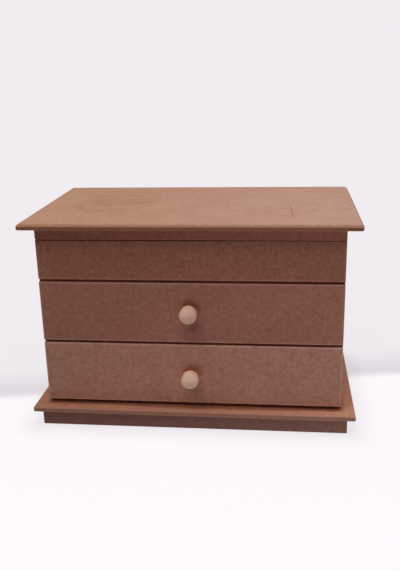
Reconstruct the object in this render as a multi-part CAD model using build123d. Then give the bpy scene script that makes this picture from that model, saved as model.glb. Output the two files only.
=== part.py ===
# A makeup box of raw fibreboard. Two drawers with overlay fronts and turned knobs slide in the
# body, a divided tray lies above them, and a hinged lid with a mirror closes the top. The body
# stands on a wider base board with a recessed plinth under it.
# Millimetres, +Z up. The fronts face -Y, and the origin is on the floor under the boards' middle.

import os

from build123d import *

# Plan of the body, and how far the lid board and the base board stand out past it
body_width = 302.0
body_depth = 172.0
overhang = 14.0

# Sheet thicknesses
side_thickness = 3.2
back_thickness = 3.2
shelf_thickness = 3.2
tray_floor_thickness = 3.2
tray_front_thickness = 3.2
divider_thickness = 3.0
base_thickness = 4.7
plinth_thickness = 6.0
drawer_front_thickness = 3.2
drawer_wall_thickness = 3.2
drawer_bottom_thickness = 3.0
lid_board_thickness = 6.0
lid_rim_thickness = 3.2
mirror_thickness = 3.0

# Heights, from the floor up
plinth_height = 17.7
lower_front_height = 63.7
upper_front_height = 62.0
tray_front_height = 40.0
lid_rim_height = 12.4
divider_height = 28.0
box_below_front = 6.0

# Gaps that show, and running clearances
floor_gap = 4.1
front_gap = 2.9
lid_gap = 0.6
closing_gap = 0.3
glide_clearance = 0.3
drawer_side_clearance = 0.5
drawer_rear_clearance = 1.5

# Edges: sanded arrises, the two wide boards' corners in plan, and the lid board's bevel
sanded_edge = 0.4
base_edge_radius = 1.4
base_corner_radius = 2.0
lid_bevel = 2.6
lid_bevel_softening = 3.0
lid_under_radius = 0.6
lid_corner_radius = 4.0
mirror_edge = 0.4

# Places
plinth_inset = 7.6
lower_knob_rise = 30.1
upper_knob_rise = 32.8
trough_depth = 52.0
middle_compartment = 120.0
mirror_margin = 20.0
hinge_inset = 56.0

# Turned knob, measured outward from the drawer front
knob_length = 18.0
knob_foot_radius = 5.6
knob_neck_radius = 5.0
knob_neck_out = 2.4
knob_head_radius = 8.6
knob_head_start = 5.0
knob_head_end = 13.3
knob_head_round = 1.8
knob_bore_depth = 10.0

# Knob screw, with a crossed slot in its head
screw_radius = 1.75
screw_grip = 8.0
screw_clearance = 0.05
screw_head_radius = 3.5
screw_head_height = 2.0
screw_head_round = 1.2
screw_slot_width = 0.9
screw_slot_length = 4.2
screw_slot_depth = 1.0

# Butt hinges on the back, with round-headed nails
leaf_width = 25.0
leaf_height = 10.5
leaf_thickness = 0.8
leaf_edge_gap = 0.3
leaf_corner_radius = 1.0
knuckle_count = 3
knuckle_radius = 1.8
knuckle_gap = 0.2
barrel_clearance = 0.2
hinge_pin_radius = 0.9
hinge_pin_clearance = 0.05
nail_spacing = 16.0
nail_from_pin = 6.6
nail_radius = 0.6
nail_depth = 2.7
nail_clearance = 0.03
nail_head_radius = 1.5
nail_head_height = 0.6
nail_head_round = 0.4

# Levels, from the floor up
base_top = plinth_height + base_thickness
lower_front_bottom = base_top + floor_gap
lower_front_top = lower_front_bottom + lower_front_height
upper_front_bottom = lower_front_top + front_gap
upper_front_top = upper_front_bottom + upper_front_height
shelf_bottom = lower_front_top + front_gap / 2 - shelf_thickness / 2
shelf_top = shelf_bottom + shelf_thickness
tray_front_bottom = upper_front_top + front_gap
tray_floor_bottom = upper_front_top + front_gap / 2 - tray_floor_thickness / 2
tray_floor_top = tray_floor_bottom + tray_floor_thickness
body_top = tray_front_bottom + tray_front_height
lid_bottom = body_top + lid_gap
lid_board_bottom = lid_bottom + lid_rim_height
lid_top = lid_board_bottom + lid_board_thickness

# Planes across the width and the depth
body_side = body_width / 2
inner_side = body_side - side_thickness
board_side = body_side + overhang
body_back = body_depth / 2
body_front = -body_back
board_back = body_back + overhang
inner_back = body_back - back_thickness
inner_front = body_front + tray_front_thickness
drawer_front_back = inner_front - closing_gap
drawer_front_face = drawer_front_back - drawer_front_thickness

# Line of the hinge pins
hinge_y = body_back + barrel_clearance + knuckle_radius
hinge_z = body_top + lid_gap / 2

LOW = (Align.MIN, Align.MIN, Align.MIN)
STANDING = (Align.CENTER, Align.CENTER, Align.MIN)

pieces = {}


def board(x, y, z, edge=0.0):
    """A flat piece of sheet between two planes on each axis, with its edges sanded round."""
    blank = Pos(x[0], y[0], z[0]) * Box(x[1] - x[0], y[1] - y[0], z[1] - z[0], align=LOW)
    return fillet(blank.edges(), edge) if edge else blank


def overhanging_board(bottom, top, corner_radius):
    """A board that stands out past the body all round, with corners rounded in plan."""
    blank = board((-board_side, board_side), (-board_back, board_back), (bottom, top))
    return fillet(blank.edges().filter_by(Axis.Z), corner_radius)


def top_edges(piece):
    return piece.faces().sort_by(Axis.Z)[-1].edges()


def bottom_edges(piece):
    return piece.faces().sort_by(Axis.Z)[0].edges()


def four_strips(name, side, front, back, thickness, bottom, top, edge=0.0):
    """A rectangle of strips on edge: front and back run through, and the sides fit between."""
    inner = side - thickness
    between = (front + thickness, back - thickness)
    strips = {
        "front": ((-side, side), (front, between[0])),
        "back": ((-side, side), (between[1], back)),
        "left": ((-side, -inner), between),
        "right": ((inner, side), between),
    }
    for place, (x, y) in strips.items():
        pieces[f"{name}_{place}"] = board(x, y, (bottom, top), edge)


def rod_along_y(radius, start, end, x, z):
    return Pos(x, start, z) * Rot(-90, 0, 0) * Cylinder(radius, end - start, align=STANDING)


def domed_disc(radius, height, rounding):
    """A low round head that stands on its flat face, facing +Z."""
    disc = Cylinder(radius, height, align=STANDING)
    return fillet(disc.faces().sort_by(Axis.Z)[-1].edges(), rounding)


# Plinth, and the base board on it with its upper edge rounded over
plinth_side = board_side - plinth_inset
plinth_back = board_back - plinth_inset
four_strips(
    "plinth", plinth_side, -plinth_back, plinth_back, plinth_thickness, 0, plinth_height, sanded_edge
)
base_board = overhanging_board(plinth_height, base_top, base_corner_radius)
base_board = fillet(top_edges(base_board), base_edge_radius)
pieces["base_board"] = fillet(bottom_edges(base_board), sanded_edge)

# Body: two sides, a back over their rear edges, and a shelf and a tray floor between them, each
# with its front edge behind a gap between the fronts
depth_inside = (inner_front, inner_back)
width_inside = (-inner_side, inner_side)
full_width = (-body_side, body_side)
pieces["side_left"] = board((-body_side, -inner_side), depth_inside, (base_top, body_top))
pieces["side_right"] = board((inner_side, body_side), depth_inside, (base_top, body_top))
pieces["back_panel"] = board(full_width, (inner_back, body_back), (base_top, body_top), sanded_edge)
pieces["drawer_shelf"] = board(width_inside, depth_inside, (shelf_bottom, shelf_top))
pieces["tray_floor"] = board(width_inside, depth_inside, (tray_floor_bottom, tray_floor_top))

# The tray's front, glued to the front edges of the sides, flush with the drawers' fronts
pieces["tray_front"] = board(
    full_width, (body_front, inner_front), (tray_front_bottom, body_top), sanded_edge
)

# Tray dividers: a trough along the back for brushes, and three compartments in front of it
divider_height_range = (tray_floor_top, tray_floor_top + divider_height)
trough_front = inner_back - trough_depth
compartment_back = trough_front - divider_thickness
pieces["tray_divider_long"] = board(
    width_inside, (compartment_back, trough_front), divider_height_range
)
divider_near = middle_compartment / 2
divider_far = divider_near + divider_thickness
for place, x in (("left", (-divider_far, -divider_near)), ("right", (divider_near, divider_far))):
    pieces[f"tray_divider_{place}"] = board(
        x, (inner_front, compartment_back), divider_height_range
    )


def turned_knob():
    """A knob that grows along +Y: a foot, a waisted neck and a domed head, bored for its screw."""
    rise = knob_length - knob_head_end
    dome_radius = (knob_head_radius**2 + rise**2) / (2 * rise)
    outline = [
        Line((0, 0), (knob_foot_radius, 0)),
        ThreePointArc(
            (knob_foot_radius, 0),
            (knob_neck_radius, knob_neck_out),
            (knob_head_radius, knob_head_start),
        ),
        Line((knob_head_radius, knob_head_start), (knob_head_radius, knob_head_end)),
        RadiusArc((knob_head_radius, knob_head_end), (0, knob_length), -dome_radius),
        Line((0, knob_length), (0, 0)),
    ]
    profile = make_face(outline)
    profile = fillet(profile.vertices().group_by(Axis.X)[-1], knob_head_round)
    bore = rod_along_y(screw_radius + screw_clearance, 0, knob_bore_depth, 0, 0)
    return revolve(profile, Axis.Y, 360) - bore


def knob_screw(grip):
    """A screw along -Y with its head against y = 0, long enough for the grip."""
    head = domed_disc(screw_head_radius, screw_head_height, screw_head_round)
    for turn in (0, 90):
        slot = Box(screw_slot_length, screw_slot_width, screw_slot_depth)
        head -= Pos(0, 0, screw_head_height - screw_slot_depth / 2) * Rot(0, 0, turn) * slot
    return Rot(-90, 0, 0) * head + rod_along_y(screw_radius, -grip, 0, 0, 0)


def drawer(name, front_bottom, front_top, box_bottom, knob_rise):
    """An overlay front glued to a five-piece box, with a turned knob held by one screw."""
    box_side = inner_side - drawer_side_clearance
    box_back = inner_back - drawer_rear_clearance
    wall = drawer_wall_thickness
    box_top = front_top - box_below_front
    four_strips(f"{name}_box", box_side, drawer_front_back, box_back, wall, box_bottom, box_top)
    box_inside = drawer_front_back + wall
    pieces[f"{name}_bottom"] = board(
        (-box_side + wall, box_side - wall),
        (box_inside, box_back - wall),
        (box_bottom, box_bottom + drawer_bottom_thickness),
    )
    front = board(
        full_width, (drawer_front_face, drawer_front_back), (front_bottom, front_top), sanded_edge
    )
    knob_z = front_bottom + knob_rise
    hole = rod_along_y(screw_radius + screw_clearance, drawer_front_face, box_inside, 0, knob_z)
    pieces[f"{name}_front"] = front - hole
    pieces[f"{name}_box_front"] -= hole
    pieces[f"{name}_knob"] = Pos(0, drawer_front_face, knob_z) * Rot(0, 0, 180) * turned_knob()
    grip = drawer_front_thickness + wall + screw_grip
    pieces[f"{name}_knob_screw"] = Pos(0, box_inside, knob_z) * knob_screw(grip)


lower_box_bottom = base_top + glide_clearance
upper_box_bottom = shelf_top + glide_clearance
drawer("lower_drawer", lower_front_bottom, lower_front_top, lower_box_bottom, lower_knob_rise)
drawer("upper_drawer", upper_front_bottom, upper_front_top, upper_box_bottom, upper_knob_rise)

# Lid: a bevelled board with a rim of strips under it that meets the body's top, and a mirror
four_strips(
    "lid_rim",
    body_side,
    body_front,
    body_back,
    lid_rim_thickness,
    lid_bottom,
    lid_board_bottom,
    sanded_edge,
)
lid_board = overhanging_board(lid_board_bottom, lid_top, lid_corner_radius)
lid_board = chamfer(top_edges(lid_board), lid_bevel)
lid_board = fillet(top_edges(lid_board), lid_bevel_softening)
pieces["lid_board"] = fillet(bottom_edges(lid_board), lid_under_radius)
mirror_side = body_side - lid_rim_thickness - mirror_margin
mirror_back = body_back - lid_rim_thickness - mirror_margin
pieces["lid_mirror"] = board(
    (-mirror_side, mirror_side),
    (-mirror_back, mirror_back),
    (lid_board_bottom - mirror_thickness, lid_board_bottom),
    mirror_edge,
)


def bar_on_hinge_line(radius, start, end):
    bar = Cylinder(radius, end - start, align=STANDING)
    return Pos(start, hinge_y, hinge_z) * Rot(0, 90, 0) * bar


def hinge_leaf(middle, side):
    """A leaf flat on the back of the box, up the lid's rim (side 1) or down the body (side -1)."""
    left = middle - leaf_width / 2
    right = middle + leaf_width / 2
    near, far = hinge_z + side * leaf_edge_gap, hinge_z + side * leaf_height
    leaf = board(
        (left, right), (body_back, body_back + leaf_thickness), (min(near, far), max(near, far))
    )
    free_corners = leaf.edges().filter_by(Axis.Y).sort_by(Axis.Z)
    leaf = fillet(free_corners[-2:] if side > 0 else free_corners[:2], leaf_corner_radius)
    pitch = leaf_width / knuckle_count
    for number in range(knuckle_count):
        start, end = left + number * pitch, left + (number + 1) * pitch
        if (number % 2 == 1) == (side > 0):
            start += knuckle_gap / 2 if number else 0
            end -= knuckle_gap / 2 if number < knuckle_count - 1 else 0
            leaf += bar_on_hinge_line(knuckle_radius, start, end)
        else:
            leaf -= bar_on_hinge_line(
                knuckle_radius + knuckle_gap, start - knuckle_gap / 2, end + knuckle_gap / 2
            )
    leaf -= bar_on_hinge_line(hinge_pin_radius + hinge_pin_clearance, left, right)
    for x, z in nail_places(middle, side):
        leaf -= rod_along_y(nail_radius + nail_clearance, body_back, body_back + leaf_thickness, x, z)
    return leaf


def nail_places(middle, side):
    z = hinge_z + side * nail_from_pin
    return [(middle - nail_spacing / 2, z), (middle + nail_spacing / 2, z)]


def nail(x, z):
    """A round-headed nail through a leaf into the board under it."""
    head = domed_disc(nail_head_radius, nail_head_height, nail_head_round)
    shank = rod_along_y(nail_radius, body_back - nail_depth, body_back + leaf_thickness, x, z)
    return Pos(x, body_back + leaf_thickness, z) * Rot(-90, 0, 0) * head + shank


# Hinges: one leaf of each pair on the lid's rim and one on the back panel, nailed
nails = {1: [], -1: []}
nailed = {1: "lid_rim_back", -1: "back_panel"}
for place, middle in (("left", hinge_inset - body_side), ("right", body_side - hinge_inset)):
    pieces[f"lid_leaf_{place}"] = hinge_leaf(middle, 1)
    pieces[f"body_leaf_{place}"] = hinge_leaf(middle, -1)
    pieces[f"hinge_pin_{place}"] = bar_on_hinge_line(
        hinge_pin_radius, middle - leaf_width / 2, middle + leaf_width / 2
    )
    for side in nailed:
        for x, z in nail_places(middle, side):
            nails[side].append(nail(x, z))
            pieces[nailed[side]] -= rod_along_y(
                nail_radius + nail_clearance, body_back - nail_depth, body_back, x, z
            )
pieces["lid_hinge_nails"] = Compound(children=nails[1])
pieces["body_hinge_nails"] = Compound(children=nails[-1])

os.makedirs("parts", exist_ok=True)
for name, piece in pieces.items():
    export_step(piece, f"parts/{name}.step")
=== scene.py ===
import math
import random

import bpy
from mathutils import Matrix, Vector


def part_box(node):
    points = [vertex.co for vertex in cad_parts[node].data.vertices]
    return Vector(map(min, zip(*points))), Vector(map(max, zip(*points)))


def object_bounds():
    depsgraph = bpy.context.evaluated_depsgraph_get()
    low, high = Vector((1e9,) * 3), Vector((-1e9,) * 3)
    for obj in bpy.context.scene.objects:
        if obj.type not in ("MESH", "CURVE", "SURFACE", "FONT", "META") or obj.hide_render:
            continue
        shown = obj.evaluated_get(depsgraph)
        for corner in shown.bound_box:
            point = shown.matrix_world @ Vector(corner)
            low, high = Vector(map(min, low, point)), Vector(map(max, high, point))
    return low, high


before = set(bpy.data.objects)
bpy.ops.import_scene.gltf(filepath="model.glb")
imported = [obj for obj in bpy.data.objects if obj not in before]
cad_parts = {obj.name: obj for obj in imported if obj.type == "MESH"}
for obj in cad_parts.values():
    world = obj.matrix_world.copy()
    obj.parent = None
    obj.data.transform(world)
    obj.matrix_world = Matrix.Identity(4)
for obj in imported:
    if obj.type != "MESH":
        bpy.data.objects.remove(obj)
cad_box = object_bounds()


# Plinth and base board. Four strips of raw fibreboard stand on edge, and the wide base board is
# glued on them. Fibreboard is wood fibre pressed into sheet: hard smooth faces, felted with
# short fibres, and a coarser, paler core that shows where the sheet is sawn and sanded.

class Value:
    """What one socket of a node carries, so that shader maths reads as plain arithmetic."""

    def __init__(self, nodes, socket):
        self.nodes = nodes
        self.socket = socket

    def output(self, name):
        """Another output of the node that this value comes from."""
        return Value(self.nodes, self.socket.node.outputs[name])

    def __add__(self, other):
        return self.nodes.maths("ADD", self, other)

    def __radd__(self, other):
        return self.nodes.maths("ADD", other, self)

    def __sub__(self, other):
        return self.nodes.maths("SUBTRACT", self, other)

    def __rsub__(self, other):
        return self.nodes.maths("SUBTRACT", other, self)

    def __mul__(self, other):
        return self.nodes.maths("MULTIPLY", self, other)

    def __rmul__(self, other):
        return self.nodes.maths("MULTIPLY", other, self)

    def __truediv__(self, other):
        return self.nodes.maths("DIVIDE", self, other)

    def __abs__(self):
        return self.nodes.maths("ABSOLUTE", self)


class Nodes:
    """The nodes of one material, or of the studio's world, added as they are worked out."""

    def __init__(self, tree):
        self.tree = tree

    def feed(self, socket, value):
        """Links a value to a socket, or sets the socket to a number or a colour."""
        if isinstance(value, Value):
            self.tree.links.new(value.socket, socket)
        else:
            socket.default_value = value

    def node(self, kind, settings, sockets, output=0):
        """Adds a node: its type, its settings, then the values or links of its sockets."""
        made = self.tree.nodes.new(kind)
        for name, value in settings.items():
            setattr(made, name, value)
        for place, value in sockets.items():
            self.feed(made.inputs[place], value)
        return Value(self, made.outputs[output])

    def maths(self, operation, *values):
        return self.node("ShaderNodeMath", {"operation": operation}, dict(enumerate(values)))

    def vector(self, operation, *values):
        return self.node("ShaderNodeVectorMath", {"operation": operation}, dict(enumerate(values)))

    def parts(self, vector):
        """The three numbers of a vector."""
        x = self.node("ShaderNodeSeparateXYZ", {}, {0: vector})
        return [x, x.output("Y"), x.output("Z")]

    def distance(self, first, second):
        """How far away a place is that lies this far off in each of two directions."""
        return self.maths("SQRT", first * first + second * second)

    def between(self, value, start, end):
        """0 at start and 1 at end, with a soft step from one to the other."""
        settings = {"interpolation_type": "SMOOTHSTEP"}
        if end > start:
            return self.node("ShaderNodeMapRange", settings, {0: value, 1: start, 2: end})
        return 1 - self.node("ShaderNodeMapRange", settings, {0: value, 1: end, 2: start})

    def mix(self, factor, first, second):
        """A colour part of the way from the first to the second."""
        sockets = {0: factor, 6: first, 7: second}
        return self.node("ShaderNodeMix", {"data_type": "RGBA"}, sockets, output=2)

    def tint(self, colour, tint):
        """A colour that varies, with its red, green and blue each multiplied."""
        return self.vector("MULTIPLY", colour, tint)

    def in_sizes(self, place, size):
        """A place counted in sizes: one size for all directions, or a tuple of three."""
        return self.vector("DIVIDE", place, size if isinstance(size, tuple) else (size,) * 3)

    def noise(self, place, size, detail=2.0, roughness=0.5):
        """Soft random spots of about that size, from 0 to 1 and mostly near 0.5."""
        counted = self.in_sizes(place, size)
        sockets = {"Vector": counted, "Scale": 1.0, "Detail": detail, "Roughness": roughness}
        return self.node("ShaderNodeTexNoise", {}, sockets)

    def cells(self, place, size):
        """Distance to the nearest of many points scattered about that size apart."""
        return self.node("ShaderNodeTexVoronoi", {}, {"Vector": self.in_sizes(place, size), "Scale": 1.0})

    def chance(self, cells):
        """A random number from 0 to 1 that is the same all over each cell."""
        return self.node("ShaderNodeSeparateColor", {}, {0: cells.output("Color")})

    def bump(self, height, depth_mm):
        sockets = {"Strength": 1.0, "Distance": depth_mm / 1000, "Height": height}
        return self.node("ShaderNodeBump", {}, sockets)


class Finish(Nodes):
    """A surface finish: one Principled shader, and the nodes that vary it over the piece."""

    def __init__(self, name, **constants):
        self.material = bpy.data.materials.new(name)
        self.material.use_nodes = True
        super().__init__(self.material.node_tree)
        self.shader = self.tree.nodes["Principled BSDF"]
        self.set(**constants)

    def set(self, **sockets):
        """Sets or links the shader's sockets, named with _ for each space."""
        for name, value in sockets.items():
            self.feed(self.shader.inputs[name.replace("_", " ")], value)

    def metres(self):
        """The place on the piece in the box's own frame, which moves with the piece."""
        return self.node("ShaderNodeTexCoord", {}, {}, output="Object")

    def millimetres(self):
        """The same place in millimetres."""
        return self.vector("MULTIPLY", self.metres(), (1000.0, 1000.0, 1000.0))

    def insets(self, piece, place):
        """How far in a place lies from the sides of the piece's own box, along x, y and z."""
        low, high = box_mm(piece)
        off_middle = self.vector("SUBTRACT", place, tuple((low + high) / 2))
        inset = self.vector("SUBTRACT", tuple((high - low) / 2), self.vector("ABSOLUTE", off_middle))
        return self.parts(inset)

    def cover(self, *pieces):
        for piece in pieces:
            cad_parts[piece].material_slots[0].material = self.material


def box_mm(piece):
    """The low and high corners of a piece, in millimetres."""
    return [1000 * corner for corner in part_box(piece)]


def paint(red, green, blue):
    """A screen colour, 0 to 255 each, as the shader's linear colour."""
    def linear(c):
        return c / 12.92 if c <= 0.04045 else ((c + 0.055) / 1.055) ** 2.4
    return tuple(linear(c / 255) for c in (red, green, blue)) + (1.0,)


def tinted(colour, tint):
    """A plain colour with its red, green and blue each multiplied."""
    return tuple(channel * share for channel, share in zip(colour, tint)) + (1.0,)


# Sizes are in millimetres up to the studio, and a tint multiplies red, green and blue. Here are
# the pressed face's clouds, mottle, grain and dust, and how much each counts in its tone.
SHEET_REACH = 900.0
CLOUD_SIZE, CLOUD_SHARE = 46.0, 0.45
MOTTLE_SIZE, MOTTLE_SHARE = 7.0, 0.7
GRAIN_SIZE = 3.6
DUST_SIZE, DUST_SHARE = 0.8, 0.3
FACE_DARKER, FACE_LIGHTER = (0.80, 0.71, 0.67), (1.20, 1.29, 1.33)
WARMTH_SIZE, WARMTH_STEP = 90.0, (0.35, 0.65)
FACE_PINKER, FACE_YELLOWER = (1.005, 0.993, 1.0), (0.995, 1.005, 0.985)

# Fibres: how each lot of them is turned, their size, the share that is dark, and their tone
FIBRE_TURNS = ((0.3, 0.4, 0.2), (0.7, -0.5, 1.4), (-0.4, 0.9, 2.5), (1.2, 0.2, -0.7))
FIBRE_LENGTH, FIBRE_WIDTH = 3.0, 0.34
FIBRE_EDGE, FIBRE_MIDDLE = 0.5, 0.15
DARK_SHARE, FIBRE_SHARE = 0.45, 0.24

# Pale chips and bark specks: radius, spacing, the share of places that hold one, and tint
FLECKS = ((0.75, 27.0, 0.30, (1.55, 1.75, 1.85)), (0.50, 13.0, 0.35, (0.62, 0.55, 0.52)))
FLECK_RAGGED, FLECK_SHARE, HELD_STEP = 0.8, 0.7, 0.02

# Cut edges, arrises paler from rubbing and painted highlight, and painted light growing to the right, of
# which red, green and blue take more and more
CORE_START, CORE_END, CORE_SHARE = 0.35, 0.9, 0.85
STREAK_LENGTH, STREAK_WIDTH, STREAK_STEP = 5.0, 0.45, (0.3, 0.7)
CORE_DARKER, CORE_PALER = (0.78, 0.74, 0.72), (1.14, 1.17, 1.18)
RUBBED_AND_LIT_PALER, RUB_AND_HIGHLIGHT_SHARE = (1.36, 1.6, 1.68), 0.85
RUB_AND_HIGHLIGHT_PATCH_STEP, RUB_AND_HIGHLIGHT_LOST_ON_CORE = (0.2, 0.6), 0.6
PAINTED_LIGHT_TINT = (1.0, 1.2, 1.45)
BOX_HALF_WIDTH = 1000 * cad_box[1][0]

# Gloss, roughness, and how far each texture stands out, as a share of the board's relief
BOARD_GLOSS, BOARD_ROUGHNESS = 0.25, 0.72
MOTTLE_ROUGHER, CORE_ROUGHER, RUB_SMOOTHER = 0.14, 0.1, 0.08
SCRATCH_LENGTH, SCRATCH_WIDTH = 30.0, 0.35
FIBRE_RELIEF, DUST_RELIEF, MOTTLE_RELIEF = 0.5, 0.8, 0.6
SCRATCH_RELIEF, CORE_RELIEF, BOARD_RELIEF = 0.4, 0.8, 0.05


def felted_fibres(finish, sheet):
    """Short fibres that lie every way, some darker than the face and some paler."""
    fibres = 0.0
    for turn in FIBRE_TURNS:
        sockets = {"Vector": sheet, "Rotation": turn}
        turned = finish.node("ShaderNodeVectorRotate", {"rotation_type": "EULER_XYZ"}, sockets)
        cells = finish.cells(turned, (FIBRE_LENGTH, FIBRE_WIDTH, FIBRE_WIDTH))
        fibre = finish.between(cells, FIBRE_EDGE, FIBRE_MIDDLE)
        fibres = fibres + fibre * (finish.chance(cells) - DARK_SHARE)
    return fibres


def pressed_face(finish, sheet, face, speckle, mottle, dust, fibres):
    """Colour of the pressed face: cloudy, mottled and speckled, with dust in its pores."""
    clouds = finish.noise(sheet, CLOUD_SIZE)
    grain = finish.noise(sheet, GRAIN_SIZE, detail=1.0)
    tone = 0.5 + CLOUD_SHARE * (clouds - 0.5) + MOTTLE_SHARE * (mottle - 0.5) + speckle * (grain - 0.5)
    tone = tone + DUST_SHARE * (dust - 0.5) + FIBRE_SHARE * fibres
    colour = finish.mix(tone, tinted(face, FACE_DARKER), tinted(face, FACE_LIGHTER))
    warmth = finish.between(finish.noise(sheet, WARMTH_SIZE, detail=1.0), *WARMTH_STEP)
    return finish.mix(warmth, finish.tint(colour, FACE_PINKER), finish.tint(colour, FACE_YELLOWER))


def flecked(finish, sheet, face, dust, colour):
    """Adds pale chips and darker bark specks, few and far between."""
    for radius, spacing, held, tint in FLECKS:
        cells = finish.cells(finish.vector("ADD", sheet, (spacing, spacing, spacing)), spacing)
        away = cells * spacing + FLECK_RAGGED * (dust - 0.5)
        fleck = finish.between(away, 1.5 * radius, 0.6 * radius)
        fleck = fleck * finish.between(finish.chance(cells), held, held - HELD_STEP)
        colour = finish.mix(fleck * FLECK_SHARE, colour, tinted(face, tint))
    return colour


def fibreboard(piece, face, edge=None, speckle=1.0, rub_and_highlight=0.9, painted_light_to_right=0.0, marks=None):
    """Raw fibreboard, cut from its own place in the sheet, for a piece that fills its box."""
    low, high = box_mm(piece)
    size = high - low
    thin = min(range(3), key=lambda axis: size[axis])
    long = max(range(3), key=lambda axis: size[axis])
    edge = edge or face
    chooser = random.Random(piece)
    shift = tuple(chooser.uniform(-SHEET_REACH, SHEET_REACH) for axis in range(3))

    finish = Finish(f"{piece}_fibreboard", Specular_IOR_Level=BOARD_GLOSS)
    place = finish.millimetres()
    sheet = finish.vector("ADD", place, shift)
    mottle = finish.noise(sheet, MOTTLE_SIZE, detail=3.0, roughness=0.55)
    dust = finish.noise(sheet, DUST_SIZE)
    fibres = felted_fibres(finish, sheet)
    colour = pressed_face(finish, sheet, face, speckle, mottle, dust, fibres)
    colour = flecked(finish, sheet, face, dust, colour)

    # Cut edges: the core of the sheet, coarser and paler, with streaks along the sheet
    insets = finish.insets(piece, place)
    core = finish.between(insets[thin], CORE_START, CORE_END)
    streak_size = [STREAK_LENGTH] * 3
    streak_size[thin] = STREAK_WIDTH
    streaks = finish.noise(sheet, tuple(streak_size), detail=3.0, roughness=0.65)
    streaky = finish.between(streaks, *STREAK_STEP)
    cut = finish.mix(streaky, tinted(edge, CORE_DARKER), tinted(edge, CORE_PALER))
    colour = finish.mix(core * CORE_SHARE, colour, cut)

    # Arrises paler in patches, out to the given width: partly rubbed by sanding and handling, partly a
    # painted highlight where the edges catch the light. The nearest arris is as far off as the middle one
    # of the three insets says.
    nearer = finish.maths("MINIMUM", insets[0], insets[1])
    further = finish.maths("MAXIMUM", insets[0], insets[1])
    arris = finish.maths("MAXIMUM", nearer, finish.maths("MINIMUM", further, insets[2]))
    rubbed_and_lit = finish.between(arris, rub_and_highlight, 0.1 * rub_and_highlight) * finish.between(mottle, *RUB_AND_HIGHLIGHT_PATCH_STEP)
    rubbed_and_lit = rubbed_and_lit * (1 - RUB_AND_HIGHLIGHT_LOST_ON_CORE * core)
    colour = finish.mix(rubbed_and_lit * RUB_AND_HIGHLIGHT_SHARE, colour, tinted(edge, RUBBED_AND_LIT_PALER))

    # Painted light: paler and greyer towards the right, by the given share from side to side, for light
    # that is stronger on the right
    if painted_light_to_right:
        x = finish.parts(place)[0]
        less_lit = finish.tint(colour, tuple(1 - painted_light_to_right / 2 * share for share in PAINTED_LIGHT_TINT))
        pale = finish.tint(colour, tuple(1 + painted_light_to_right / 2 * share for share in PAINTED_LIGHT_TINT))
        colour = finish.mix(finish.between(x, -BOX_HALF_WIDTH, BOX_HALF_WIDTH), less_lit, pale)

    scratch_size = [SCRATCH_WIDTH] * 3
    scratch_size[long] = SCRATCH_LENGTH
    scratches = finish.noise(sheet, tuple(scratch_size), detail=1.0)
    height = FIBRE_RELIEF * fibres + DUST_RELIEF * dust + MOTTLE_RELIEF * mottle
    height = height + SCRATCH_RELIEF * scratches + CORE_RELIEF * core * streaks
    if marks:
        colour, height = marks(finish, place, colour, height)
    roughness = BOARD_ROUGHNESS + MOTTLE_ROUGHER * (mottle - 0.5)
    roughness = roughness + CORE_ROUGHER * core - RUB_SMOOTHER * rubbed_and_lit
    finish.set(Base_Color=colour, Roughness=roughness, Normal=finish.bump(height, BOARD_RELIEF))
    finish.cover(piece)


PLINTH_BOARD = paint(160, 115, 104)
BASE_BOARD = paint(201, 143, 115)
BASE_EDGE = paint(162, 112, 94)
# Painted shade under the lower drawer's front: where it starts in front of the front, how deep it
# reaches, and how much deeper under the knob
UNDER_FRONT_SHADE_LIP = 1.2
UNDER_FRONT_SHADE_DEPTH, UNDER_FRONT_SHADE_MIDDLE_DEPTH = 2.8, 6.2
UNDER_FRONT_SHADE_MIDDLE, UNDER_FRONT_SHADE_MIDDLE_REACH, UNDER_FRONT_SHADE_MIDDLE_FULL = 15.0, 110.0, 20.0
UNDER_FRONT_SHADE_PAST_END, UNDER_FRONT_SHADE_FULL_SHORT_OF_END = 7.0, 3.0
UNDER_FRONT_SHADE_TINT = (0.55, 0.42, 0.38)


def base_shade_marks(finish, place, colour, height):
    """Painted shade on the base board along the foot of the lower drawer's front, deeper in the middle
    where the lower knob's shadow falls.
    """
    x, y, _ = finish.parts(place)
    low, high = box_mm("lower_drawer_front")
    middle = finish.between(abs(x - UNDER_FRONT_SHADE_MIDDLE), UNDER_FRONT_SHADE_MIDDLE_REACH, UNDER_FRONT_SHADE_MIDDLE_FULL)
    depth = UNDER_FRONT_SHADE_DEPTH + UNDER_FRONT_SHADE_MIDDLE_DEPTH * middle
    under_front_shade = finish.between((low.y - UNDER_FRONT_SHADE_LIP - y) / depth, 1.0, 0.0)
    under_front_shade = under_front_shade * finish.between(abs(x), high.x + UNDER_FRONT_SHADE_PAST_END, high.x - UNDER_FRONT_SHADE_FULL_SHORT_OF_END)
    return finish.mix(under_front_shade, colour, finish.tint(colour, UNDER_FRONT_SHADE_TINT)), height


fibreboard("plinth_front", PLINTH_BOARD, painted_light_to_right=0.34)
for side in ("back", "left", "right"):
    fibreboard(f"plinth_{side}", PLINTH_BOARD)
fibreboard("base_board", BASE_BOARD, BASE_EDGE, rub_and_highlight=4.0, painted_light_to_right=0.2, marks=base_shade_marks)


# Body. Two sides, a back over their rear edges and a shelf between the drawers, all of thin
# fibreboard butted and glued, and never painted or sealed.

BODY_BOARD = paint(170, 124, 106)
# The cut edges are painted dark, as painted shade, so that they stay dark where they show at the ends of
# the gaps between the fronts.
BODY_EDGE_PAINTED_SHADE = paint(145, 89, 67)
for piece in ("side_left", "side_right", "back_panel", "drawer_shelf"):
    fibreboard(piece, BODY_BOARD, BODY_EDGE_PAINTED_SHADE)


# Tray. Its floor and its front strip are glued into the body over the upper drawer, and three
# dividers stand on the floor: a long one for the brush trough and two across.

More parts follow.
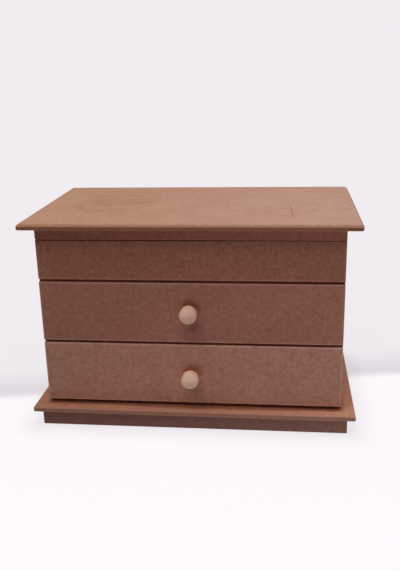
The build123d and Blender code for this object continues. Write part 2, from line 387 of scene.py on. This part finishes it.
# The band under the lid gets a darker, redder colour than the drawer fronts: painted shade from the lid's
# overhang
TRAY_FRONT_SHADED_BOARD = paint(157, 101, 83)
TRAY_FRONT_CHIPS = ((-95.0, 167.0), (-23.0, 183.0))
CHIP_EDGE, CHIP_MIDDLE, CHIP_SHARE = 1.9, 0.7, 0.8
CHIP_RAGGED_SIZE, CHIP_RAGGED = 1.6, 1.4
CHIP_TINT = (1.35, 1.5, 1.55)
# Painted shade under the lid's seam: how far down it reaches, where it fades out to the right, and its
# tint
SEAM_SHADE, SEAM_SHADE_FULL = 1.6, 0.48
SEAM_SHADE_GONE, SEAM_SHADE_WHOLE = 130.0, -40.0
SEAM_SHADE_TINT = (0.55, 0.36, 0.30)


def chipped(finish, place, colour, spots):
    """Adds a pale wood chip at each of those places of an upright board, each an x and a z."""
    x, _, z = finish.parts(place)
    ragged = finish.noise(place, CHIP_RAGGED_SIZE)
    for spot_x, spot_z in spots:
        away = finish.distance(x - spot_x, z - spot_z) + CHIP_RAGGED * (ragged - 0.5)
        chip = finish.between(away, CHIP_EDGE, CHIP_MIDDLE)
        colour = finish.mix(chip * CHIP_SHARE, colour, finish.tint(colour, CHIP_TINT))
    return colour


def tray_front_marks(finish, place, colour, height):
    """Pale chips, and painted shade along the top edge under the lid's seam, fading to the right."""
    colour = chipped(finish, place, colour, TRAY_FRONT_CHIPS)
    x, _, z = finish.parts(place)
    top = box_mm("tray_front")[1].z
    line = finish.between(top - z, SEAM_SHADE, SEAM_SHADE_FULL)
    line = line * finish.between(x, SEAM_SHADE_GONE, SEAM_SHADE_WHOLE)
    return finish.mix(line, colour, finish.tint(colour, SEAM_SHADE_TINT)), height


for piece in ("tray_floor", "tray_divider_long", "tray_divider_left", "tray_divider_right"):
    fibreboard(piece, BODY_BOARD, BODY_EDGE_PAINTED_SHADE)
fibreboard("tray_front", TRAY_FRONT_SHADED_BOARD, speckle=1.6, rub_and_highlight=2.4, painted_light_to_right=0.14, marks=tray_front_marks)


# Drawers. Each is a box of four walls glued round a bottom, with an overlay front glued on that covers
# the body's edges. The fronts are given a darker, redder colour than the lid of the same fibreboard:
# painted shade on upright faces that get less light.

DRAWER_BOX_BOARD = paint(172, 127, 110)
DRAWER_FRONT_SHADED_BOARDS = {"lower_drawer": paint(189, 134, 116), "upper_drawer": paint(167, 111, 95)}
DRAWER_FRONT_CHIPS = {"lower_drawer": (), "upper_drawer": ((-65.5, 121.0), (-22.0, 118.0))}
# Painted shade round each knob's foot: its centre off the knob's, its reach, its ragged edge, and its
# tint
KNOB_SHADE_RIGHT, KNOB_SHADE_UP = 1.0, 3.0
KNOB_SHADE_REACH, KNOB_SHADE_FULL = 12.5, 5.0
KNOB_SHADE_RAGGED_SIZE, KNOB_SHADE_RAGGED = 9.0, 4.0
KNOB_SHADE_TINT = (0.77, 0.54, 0.42)
# Painted shade on the foot of the lower drawer's box front: how high it reaches, where it is full, and
# its tint
FOOT_SHADE_REACH, FOOT_SHADE_FULL = 7.0, 3.5
FOOT_SHADE_TINT = (0.45, 0.28, 0.22)


def front_chips_and_shade(drawer):
    """Marks for a drawer's front: pale chips, and painted shade close round the knob, where its head
    keeps light off the front.
    """
    low, high = box_mm(f"{drawer}_knob")
    knob_shade_x, knob_shade_z = (low.x + high.x) / 2 + KNOB_SHADE_RIGHT, (low.z + high.z) / 2 + KNOB_SHADE_UP

    def marks(finish, place, colour, height):
        colour = chipped(finish, place, colour, DRAWER_FRONT_CHIPS[drawer])
        x, _, z = finish.parts(place)
        ragged = finish.noise(place, KNOB_SHADE_RAGGED_SIZE)
        away = finish.distance(x - knob_shade_x, z - knob_shade_z) + KNOB_SHADE_RAGGED * (ragged - 0.5)
        knob_shade = finish.between(away, KNOB_SHADE_REACH, KNOB_SHADE_FULL)
        return finish.mix(knob_shade, colour, finish.tint(colour, KNOB_SHADE_TINT)), height
    return marks


def foot_shade_marks(finish, place, colour, height):
    """Painted shade on the foot of the lower drawer's box front, where it shows in the gap under the
    drawer's front.
    """
    z = finish.parts(place)[2]
    foot = box_mm("lower_drawer_box_front")[0].z
    foot_shade = finish.between(z - foot, FOOT_SHADE_REACH, FOOT_SHADE_FULL)
    return finish.mix(foot_shade, colour, finish.tint(colour, FOOT_SHADE_TINT)), height


for drawer, shaded_front_board in DRAWER_FRONT_SHADED_BOARDS.items():
    for part in ("box_back", "box_left", "box_right", "bottom"):
        fibreboard(f"{drawer}_{part}", DRAWER_BOX_BOARD)
    fibreboard(f"{drawer}_front", shaded_front_board, rub_and_highlight=2.4, painted_light_to_right=0.16, marks=front_chips_and_shade(drawer))
fibreboard("upper_drawer_box_front", DRAWER_BOX_BOARD)
fibreboard("lower_drawer_box_front", DRAWER_BOX_BOARD, marks=foot_shade_marks)


# Knobs. Turned from a pale close-grained wood with the grain along the knob's axis, so that the
# dome shows end grain. Left raw, and held from inside the drawer by one screw.

KNOB_WOODS = {"lower_drawer": paint(255, 214, 190), "upper_drawer": paint(250, 201, 178)}
KNOB_PITHS = {"lower_drawer": (6.0, 11.0), "upper_drawer": (-9.0, 5.0)}
RING_SPACING, RING_WANDER, WANDER_SIZE = 1.5, 1.6, (7.0, 30.0, 7.0)
LATE_WOOD, LATE_SHARE = paint(232, 176, 152), 0.45
LATE_RISE, LATE_STOP = (0.45, 0.95), (1.0, 0.93)
PORE, PORE_SHARE = paint(186, 136, 108), 0.35
PORE_SIZE, PORE_EDGE, PORE_MIDDLE = (0.34, 3.6, 0.34), 0.32, 0.12
LATHE_LINE_SIZE = (40.0, 0.3, 40.0)
KNOB_GLOSS, KNOB_ROUGHNESS, WANDER_ROUGHER, PORE_ROUGHER = 0.35, 0.55, 0.12, 0.1
LATHE_RELIEF, PORE_SINK, LATE_SINK, KNOB_RELIEF = 0.7, 0.6, 0.3, 0.03
# Painted shade low on each dome: its centre, reach, ragged edge, specks and tint
LOW_DOME_SHADE_RIGHT, LOW_DOME_SHADE_UP = 0.5, -2.8
LOW_DOME_SHADE_REACH, LOW_DOME_SHADE_FULL, LOW_DOME_SHADE_RAGGED = 7.2, 2.0, 2.0
LOW_DOME_SHADE_SPECK_SIZE, LOW_DOME_SHADE_SPECK_STEP = 0.9, (0.25, 0.6)
LOW_DOME_SHADE_TINT = (0.85, 0.84, 0.88)


def turned_wood(piece, wood, pith):
    """Wood turned about a line along y, cut from a stick whose pith lies off to one side."""
    low, high = box_mm(piece)
    finish = Finish(f"{piece}_wood", Specular_IOR_Level=KNOB_GLOSS)
    place = finish.millimetres()
    x, _, z = finish.parts(finish.vector("SUBTRACT", place, tuple((low + high) / 2)))

    # Growth rings round the pith, each darkening slowly outwards and ending sharply
    wander = finish.noise(place, WANDER_SIZE)
    radius = finish.distance(x - pith[0], z - pith[1]) + RING_WANDER * (wander - 0.5)
    ring = finish.maths("FRACT", radius / RING_SPACING)
    late = finish.between(ring, *LATE_RISE) * finish.between(ring, *LATE_STOP)
    colour = finish.mix(late * LATE_SHARE, wood, LATE_WOOD)
    pores = finish.between(finish.cells(place, PORE_SIZE), PORE_EDGE, PORE_MIDDLE)
    colour = finish.mix(pores * PORE_SHARE, colour, PORE)

    # Painted shade low on the dome, grey and broken into specks like end grain, where the dome turns from
    # the light
    specks = finish.noise(place, LOW_DOME_SHADE_SPECK_SIZE)
    away = finish.distance(x - LOW_DOME_SHADE_RIGHT, z - LOW_DOME_SHADE_UP) + LOW_DOME_SHADE_RAGGED * (wander - 0.5)
    low_dome_shade = finish.between(away, LOW_DOME_SHADE_REACH, LOW_DOME_SHADE_FULL)
    low_dome_shade = low_dome_shade * finish.between(specks, *LOW_DOME_SHADE_SPECK_STEP)
    colour = finish.mix(low_dome_shade, colour, finish.tint(colour, LOW_DOME_SHADE_TINT))

    lathe_lines = finish.noise(place, LATHE_LINE_SIZE, detail=1.0)
    height = LATHE_RELIEF * lathe_lines - PORE_SINK * pores - LATE_SINK * late
    finish.set(
        Base_Color=colour,
        Roughness=KNOB_ROUGHNESS + WANDER_ROUGHER * (wander - 0.5) + PORE_ROUGHER * pores,
        Normal=finish.bump(height, KNOB_RELIEF),
    )
    finish.cover(piece)


for drawer, wood in KNOB_WOODS.items():
    turned_wood(f"{drawer}_knob", wood, KNOB_PITHS[drawer])


# Knob screws. Zinc-plated steel with a crossed slot in a domed head, driven through the
# drawer's box front and its overlay front into the foot of the knob.

ZINC = paint(190, 193, 198)
ZINC_DULL = paint(140, 141, 142)
ZINC_DULL_SIZE, ZINC_DULL_STEP = 1.6, (0.42, 0.68)
ZINC_ROUGHNESS, ZINC_DULL_ROUGHER = 0.28, 0.25
ZINC_PITTING_SIZE, ZINC_PITTING_RELIEF = 0.25, 0.008
for drawer in DRAWER_FRONT_SHADED_BOARDS:
    steel = Finish(f"{drawer}_screw_zinc", Metallic=1.0)
    place = steel.millimetres()
    dull = steel.between(steel.noise(place, ZINC_DULL_SIZE, detail=4.0), *ZINC_DULL_STEP)
    pitting = steel.noise(place, ZINC_PITTING_SIZE, detail=1.0)
    steel.set(
        Base_Color=steel.mix(dull, ZINC, ZINC_DULL),
        Roughness=ZINC_ROUGHNESS + ZINC_DULL_ROUGHER * dull,
        Normal=steel.bump(pitting, ZINC_PITTING_RELIEF),
    )
    steel.cover(f"{drawer}_knob_screw")


# Lid. A rim of strips on edge, with a thicker board over them that stands out all round. The board is
# bevelled along its top, the saw has scorched its upright edge, and its face has greasy wipe marks and
# two knocks. The face is also yellower and darker towards the left and paler towards the right: partly a
# tint of the board, partly painted light that is stronger on the right.

LID_BOARD = paint(204, 154, 131)
LID_BEVEL = paint(186, 136, 110)
# The rim gets a darker, redder colour than the board: painted shade under the board's overhang
LID_RIM_SHADED_BOARD = paint(172, 109, 90)
SCORCH_START, SCORCH_END = 1.9, 2.9
SCORCH_TINT = (0.60, 0.46, 0.43)
LESS_LIT_END, MORE_LIT_END = -130.0, 130.0
LID_YELLOWER_LESS_LIT, LID_PINKER_MORE_LIT = (0.96, 0.96, 0.87), (1.04, 1.09, 1.14)
LID_RAGGED_SIZE = 30.0
SMEAR_MIDDLE, SMEAR_HALF = (-87.0, 5.0), (46.0, 58.0)
SMEAR_EDGE, SMEAR_FULL, SMEAR_RAGGED, SMEAR_EVEN = 1.15, 0.75, 1.2, 0.25
WIPE_SIZE, WIPE_STEP = (26.0, 6.0, 26.0), (0.46, 0.62)
GREASY_TINT = (0.90, 0.85, 0.76)
# Each knock: where it starts, where it ends, and its half width
KNOCKS = (((88.0, -27.5), (94.5, -28.0), 1.6), ((98.6, -17.0), (100.1, -59.0), 0.9))
KNOCK_TINT, KNOCK_SHARE, KNOCK_RAGGED, KNOCK_DEPTH = (0.72, 0.62, 0.58), 0.75, 0.8, 3.0


def lid_marks(finish, place, colour, height):
    """Scorched edge, a yellower tint with painted light across the face, wipe marks and knocks, added to
    a board's colour and height.
    """
    x, y, z = finish.parts(place)
    below_top = box_mm("lid_board")[1].z - z
    scorched = finish.between(below_top, SCORCH_START, SCORCH_END)
    colour = finish.mix(scorched, colour, finish.tint(colour, SCORCH_TINT))
    # Painted light across the face: darker and yellower towards the left, paler towards the right, partly
    # also the board's own tint
    yellower_less_lit, pinker_more_lit = finish.tint(colour, LID_YELLOWER_LESS_LIT), finish.tint(colour, LID_PINKER_MORE_LIT)
    colour = finish.mix(finish.between(x, LESS_LIT_END, MORE_LIT_END), yellower_less_lit, pinker_more_lit)

    ragged = finish.noise(place, LID_RAGGED_SIZE, detail=3.0)
    off_x, off_y = (x - SMEAR_MIDDLE[0]) / SMEAR_HALF[0], (y - SMEAR_MIDDLE[1]) / SMEAR_HALF[1]
    away = finish.distance(off_x, off_y) + SMEAR_RAGGED * (ragged - 0.5)
    wiped = finish.between(finish.noise(place, WIPE_SIZE), *WIPE_STEP)
    smear = finish.between(away, SMEAR_EDGE, SMEAR_FULL) * (SMEAR_EVEN + (1 - SMEAR_EVEN) * wiped)
    colour = finish.mix(smear, colour, finish.tint(colour, GREASY_TINT))

    for (start_x, start_y), (end_x, end_y), half_width in KNOCKS:
        length = math.hypot(end_x - start_x, end_y - start_y)
        along_x, along_y = (end_x - start_x) / length, (end_y - start_y) / length
        along = (x - start_x) * along_x + (y - start_y) * along_y
        across = abs((y - start_y) * along_x - (x - start_x) * along_y)
        past_end = finish.maths("MAXIMUM", abs(along - length / 2) - length / 2, 0.0)
        away = across + past_end + KNOCK_RAGGED * (ragged - 0.5)
        knock = finish.between(away, 1.5 * half_width, 0.5 * half_width)
        colour = finish.mix(knock * KNOCK_SHARE, colour, finish.tint(colour, KNOCK_TINT))
        height = height - KNOCK_DEPTH * knock
    return colour, height


fibreboard("lid_board", LID_BOARD, LID_BEVEL, speckle=0.5, marks=lid_marks)
fibreboard("lid_rim_front", LID_RIM_SHADED_BOARD, painted_light_to_right=0.36)
for side in ("back", "left", "right"):
    fibreboard(f"lid_rim_{side}", LID_RIM_SHADED_BOARD)


# Mirror. A pane of silvered glass, glued to the underside of the lid board. Its edges are
# ground matt and green, and its face has a few faint smears.

SILVER = paint(236, 239, 240)
GROUND_GLASS = paint(150, 190, 178)
GROUND_STEP = (0.45, 0.2)
MIRROR_SMEAR_SIZE, MIRROR_SMEAR_STEP = (22.0, 7.0, 7.0), (0.52, 0.75)
SILVER_ROUGHNESS, SMEAR_ROUGHER, GROUND_ROUGHER = 0.02, 0.05, 0.3
GROUND_LESS_METAL = 0.8

mirror = Finish("mirror_silver", Specular_IOR_Level=0.5)
place = mirror.millimetres()
inset_x, inset_y, _ = mirror.insets("lid_mirror", place)
ground = mirror.between(mirror.maths("MINIMUM", inset_x, inset_y), *GROUND_STEP)
smear = mirror.between(mirror.noise(place, MIRROR_SMEAR_SIZE, detail=4.0), *MIRROR_SMEAR_STEP)
mirror.set(
    Base_Color=mirror.mix(ground, SILVER, GROUND_GLASS),
    Metallic=1 - GROUND_LESS_METAL * ground,
    Roughness=SILVER_ROUGHNESS + SMEAR_ROUGHER * smear + GROUND_ROUGHER * ground,
)
mirror.cover("lid_mirror")


# Hinges. Pairs of brass-plated steel leaves on the back, rolled round a pin, and fixed with
# small round-headed brass nails. The plating has dulled in soft patches.

BRASS = paint(214, 178, 106)
BRASS_DULL = paint(150, 116, 62)
BRASS_DULL_SIZE, BRASS_DULL_STEP, BRASS_DULL_SHARE = 5.0, (0.35, 0.75), 0.45
DRAWN_LINE_SIZE, DRAWN_RELIEF = (18.0, 0.16, 0.16), 0.01
BRASS_ROUGHNESS, BRASS_DULL_ROUGHER, DRAWN_ROUGHER = 0.24, 0.22, 0.12


def brass(name, *pieces):
    """Brass plate with fine lines along x, which the rolls have drawn."""
    finish = Finish(f"{name}_brass", Metallic=1.0)
    place = finish.millimetres()
    dull = finish.between(finish.noise(place, BRASS_DULL_SIZE, detail=3.0), *BRASS_DULL_STEP)
    drawn = finish.noise(place, DRAWN_LINE_SIZE)
    finish.set(
        Base_Color=finish.mix(dull * BRASS_DULL_SHARE, BRASS, BRASS_DULL),
        Roughness=BRASS_ROUGHNESS + BRASS_DULL_ROUGHER * dull + DRAWN_ROUGHER * (drawn - 0.5),
        Normal=finish.bump(drawn, DRAWN_RELIEF),
    )
    finish.cover(*pieces)


for side in ("left", "right"):
    brass(f"hinge_{side}", f"lid_leaf_{side}", f"body_leaf_{side}", f"hinge_pin_{side}")
brass("nails", "lid_hinge_nails", "body_hinge_nails")


# Studio. The box stands on a pale table top that meets a pale background in a soft shaded line.
# Seen directly the table glows at its own colour, and takes the box's shadow round the plinth.
# From here on, sizes are in metres.

TABLE_PALE = paint(254, 250, 254)
BACKGROUND_PALE = paint(241, 236, 240)
HORIZON_SHADE = paint(224, 218, 224)
TABLE_HALF = 40.0
HORIZON_TURN, HORIZON_OFFSET = 0.199, 0.010
HORIZON_HALF_WIDTH, HORIZON_SHADE_DEPTH = 0.013, 0.085
FADE_START, FADE_END = 0.9, 2.2
PLINTH_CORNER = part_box("plinth_back")[1]
CONTACT_REACH, CONTACT_SHARE = 0.04, 0.22
SHADOW_REACH, SHADOW_SHARE = 0.3, 0.03
BOUNCE = (0.78, 0.78, 0.78, 1.0)
BLACK = (0.0, 0.0, 0.0, 1.0)
FILL = (0.03, 0.03, 0.03, 1.0)


def seen(nodes):
    """1 for what is seen directly, in a mirror or through glass, and 0 for what only lights."""
    rays = nodes.node("ShaderNodeLightPath", {}, {}, output="Is Camera Ray")
    return rays + rays.output("Is Glossy Ray") + rays.output("Is Transmission Ray")


table_mesh = bpy.data.meshes.new("table_top")
corners = [(x * TABLE_HALF, y * TABLE_HALF, 0.0) for x, y in ((-1, -1), (1, -1), (1, 1), (-1, 1))]
table_mesh.from_pydata(corners, [], [(0, 1, 2, 3)])
table = bpy.data.objects.new("table_top", table_mesh)
bpy.context.scene.collection.objects.link(table)

table_top = Finish("table_pale", Roughness=0.9, Specular_IOR_Level=0.0)
table_mesh.materials.append(table_top.material)
x, y, _ = table_top.parts(table_top.metres())
past_line = y - math.tan(HORIZON_TURN) * x - HORIZON_OFFSET
behind = table_top.between(past_line, -HORIZON_HALF_WIDTH, HORIZON_HALF_WIDTH)
shade = table_top.between(past_line, HORIZON_SHADE_DEPTH, 0.0)
backdrop = table_top.mix(shade, BACKGROUND_PALE, HORIZON_SHADE)
pale = table_top.mix(behind, TABLE_PALE, backdrop)
far = table_top.between(table_top.distance(x, y), FADE_START, FADE_END)
pale = table_top.mix(far, pale, BACKGROUND_PALE)

outside_x = table_top.maths("MAXIMUM", abs(x) - PLINTH_CORNER.x, 0.0)
outside_y = table_top.maths("MAXIMUM", abs(y) - PLINTH_CORNER.y, 0.0)
away = table_top.distance(outside_x, outside_y)
shadow = CONTACT_SHARE * table_top.between(away, CONTACT_REACH, 0.0)
shadow = shadow + SHADOW_SHARE * table_top.between(away, SHADOW_REACH, 0.0)
shown = seen(table_top)
glowing = shown * (1 - shadow)
lit = table_top.mix(shown, BOUNCE, pale)
table_top.set(
    Base_Color=table_top.mix(glowing, lit, BLACK),
    Emission_Color=table_top.mix(glowing, BLACK, pale),
    Emission_Strength=1.0,
)

world = bpy.data.worlds.new("studio")
world.use_nodes = True
bpy.context.scene.world = world
room = Nodes(world.node_tree)
background = world.node_tree.nodes["Background"]
room.feed(background.inputs["Color"], room.mix(seen(room), FILL, BACKGROUND_PALE))


# Lights. A softbox over the box and a wide one in front and above, both a little to the left,
# and three weaker ones at the sides and behind, which lift the shade there. All are kept out of
# reflections, so that the mirror in the opened lid shows the pale studio and not a lamp.

LIGHTS_AIM = Vector((0.0, 0.0, 0.15))


def softbox(name, place, width, height, watts):
    """A rectangular lamp at that place, turned to the box."""
    lamp = bpy.data.lights.new(name, "AREA")
    lamp.shape = "RECTANGLE"
    lamp.size, lamp.size_y = width, height
    lamp.energy = watts
    holder = bpy.data.objects.new(name, lamp)
    bpy.context.scene.collection.objects.link(holder)
    holder.location = place
    holder.rotation_euler = (LIGHTS_AIM - Vector(place)).to_track_quat("-Z", "Y").to_euler()
    holder.visible_glossy = False


softbox("overhead_softbox", (-0.05, 0.1, 1.3), width=0.8, height=0.8, watts=1.5)
softbox("front_softbox", (-0.2, -0.62, 1.25), width=1.1, height=0.9, watts=8.45)
softbox("left_softbox", (-1.2, 0.2, 0.5), width=0.6, height=0.6, watts=1.2)
softbox("right_softbox", (1.1, 0.1, 0.8), width=0.6, height=0.6, watts=4.2)
softbox("rear_softbox", (0.0, 1.3, 0.5), width=0.6, height=0.6, watts=2.8)


# Camera. It stands in front of the box, a little to its right, and looks down on it, at the
# place and angle that the photograph was taken from.

CAMERA_PLACE = Vector((0.0905, -0.7513, 0.3688))
CAMERA_TURN, CAMERA_TILT, CAMERA_ROLL = 0.1185, 0.3107, -0.0252
CAMERA_LENS, SENSOR_LONG_SIDE = 45.58, 36.0
CAMERA_NEAR, CAMERA_FAR = 0.01, 200.0

camera_data = bpy.data.cameras.new("camera")
camera_data.lens = CAMERA_LENS
camera_data.sensor_width = SENSOR_LONG_SIDE
camera_data.clip_start, camera_data.clip_end = CAMERA_NEAR, CAMERA_FAR
camera = bpy.data.objects.new("camera", camera_data)
bpy.context.scene.collection.objects.link(camera)
camera.matrix_world = (
    Matrix.Translation(CAMERA_PLACE)
    @ Matrix.Rotation(CAMERA_TURN, 4, "Z")
    @ Matrix.Rotation(math.pi / 2 - CAMERA_TILT, 4, "X")
    @ Matrix.Rotation(CAMERA_ROLL, 4, "Z")
)
bpy.context.scene.camera = camera
bpy.context.scene.view_settings.view_transform = "Standard"
